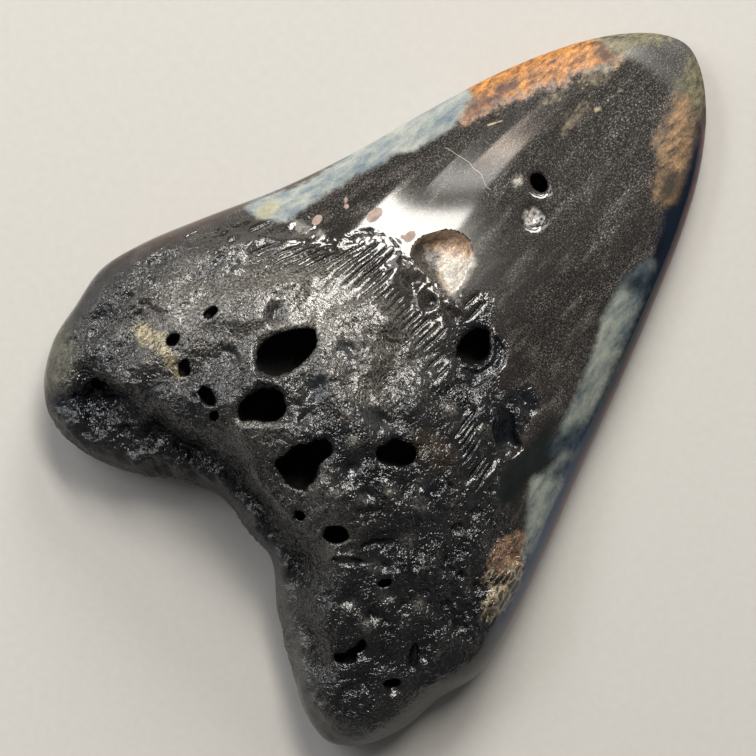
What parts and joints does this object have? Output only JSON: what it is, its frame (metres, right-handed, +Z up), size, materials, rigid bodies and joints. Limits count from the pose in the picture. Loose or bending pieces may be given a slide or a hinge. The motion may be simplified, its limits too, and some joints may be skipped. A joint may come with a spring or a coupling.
{
  "type": "megalodon tooth",
  "caption": "Polished fossil megalodon tooth lying on its flat face: glossy domed crown, pitted two-lobed black root, bored holes.",
  "frame": {"origin": "under the middle of the tooth, on the plane that its flat face rests on", "axes": "+Y along the tooth to the tip of the crown, +Z up out of the domed face, +X across the root"},
  "size_m": [0.0936, 0.1278, 0.0288],
  "materials": {
    "fossil": "ground and polished to a gloss on the crown, rougher and glossy black on the root"
  },
  "bodies": {
    "root": {"tooth": "fossil"}
  },
  "joints": []
}
